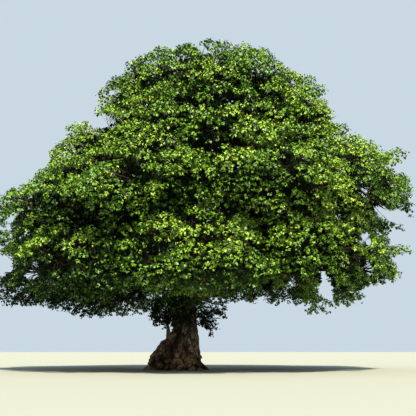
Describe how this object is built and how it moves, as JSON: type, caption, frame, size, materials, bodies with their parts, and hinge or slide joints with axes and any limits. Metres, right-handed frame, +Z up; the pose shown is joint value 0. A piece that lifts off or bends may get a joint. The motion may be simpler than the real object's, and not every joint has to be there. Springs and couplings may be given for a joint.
{
  "type": "sycamore maple tree",
  "caption": "Spreading broadleaf field tree: a short buttressed trunk carries arching boughs and a dense, domed crown of leafy masses that hangs low all round.",
  "frame": {"origin": "middle of the flat cut under the trunk, at ground level", "axes": "+Z up the tree; +X to the side on which the crown reaches further; -Y is the front, and shows the lit fold in the trunk"},
  "size_m": [23.1133, 21.5892, 18.0378],
  "materials": {
    "bark": "rough furrowed bark",
    "leaf_green": "matte leaf"
  },
  "bodies": {
    "root": {"trunk": "bark", "side_stem": "bark", "skirt_bough_1": "bark", "skirt_bough_2": "bark", "skirt_bough_3": "bark", "skirt_bough_4": "bark", "skirt_bough_5": "bark", "skirt_bough_6": "bark", "skirt_bough_7": "bark", "skirt_bough_8": "bark", "waist_bough_1": "bark", "waist_bough_2": "bark", "waist_bough_3": "bark", "waist_bough_4": "bark", "waist_bough_5": "bark", "waist_bough_6": "bark", "waist_bough_7": "bark", "waist_bough_8": "bark", "shoulder_bough_1": "bark", "shoulder_bough_2": "bark", "shoulder_bough_3": "bark", "shoulder_bough_4": "bark", "shoulder_bough_5": "bark", "shoulder_bough_6": "bark", "upper_bough_1": "bark", "upper_bough_2": "bark", "upper_bough_3": "bark", "upper_bough_4": "bark", "skirt_foliage_1": "leaf_green", "skirt_foliage_2": "leaf_green", "skirt_foliage_3": "leaf_green", "skirt_foliage_4": "leaf_green", "skirt_foliage_5": "leaf_green", "skirt_foliage_6": "leaf_green", "skirt_foliage_7": "leaf_green", "skirt_foliage_8": "leaf_green", "waist_foliage_1": "leaf_green", "waist_foliage_2": "leaf_green", "waist_foliage_3": "leaf_green", "waist_foliage_4": "leaf_green", "waist_foliage_5": "leaf_green", "waist_foliage_6": "leaf_green", "waist_foliage_7": "leaf_green", "waist_foliage_8": "leaf_green", "shoulder_foliage_1": "leaf_green", "shoulder_foliage_2": "leaf_green", "shoulder_foliage_3": "leaf_green", "shoulder_foliage_4": "leaf_green", "shoulder_foliage_5": "leaf_green", "shoulder_foliage_6": "leaf_green", "upper_foliage_1": "leaf_green", "upper_foliage_2": "leaf_green", "upper_foliage_3": "leaf_green", "upper_foliage_4": "leaf_green", "crown_top_foliage": "leaf_green", "low_left_foliage": "leaf_green", "low_right_foliage": "leaf_green"}
  },
  "joints": []
}
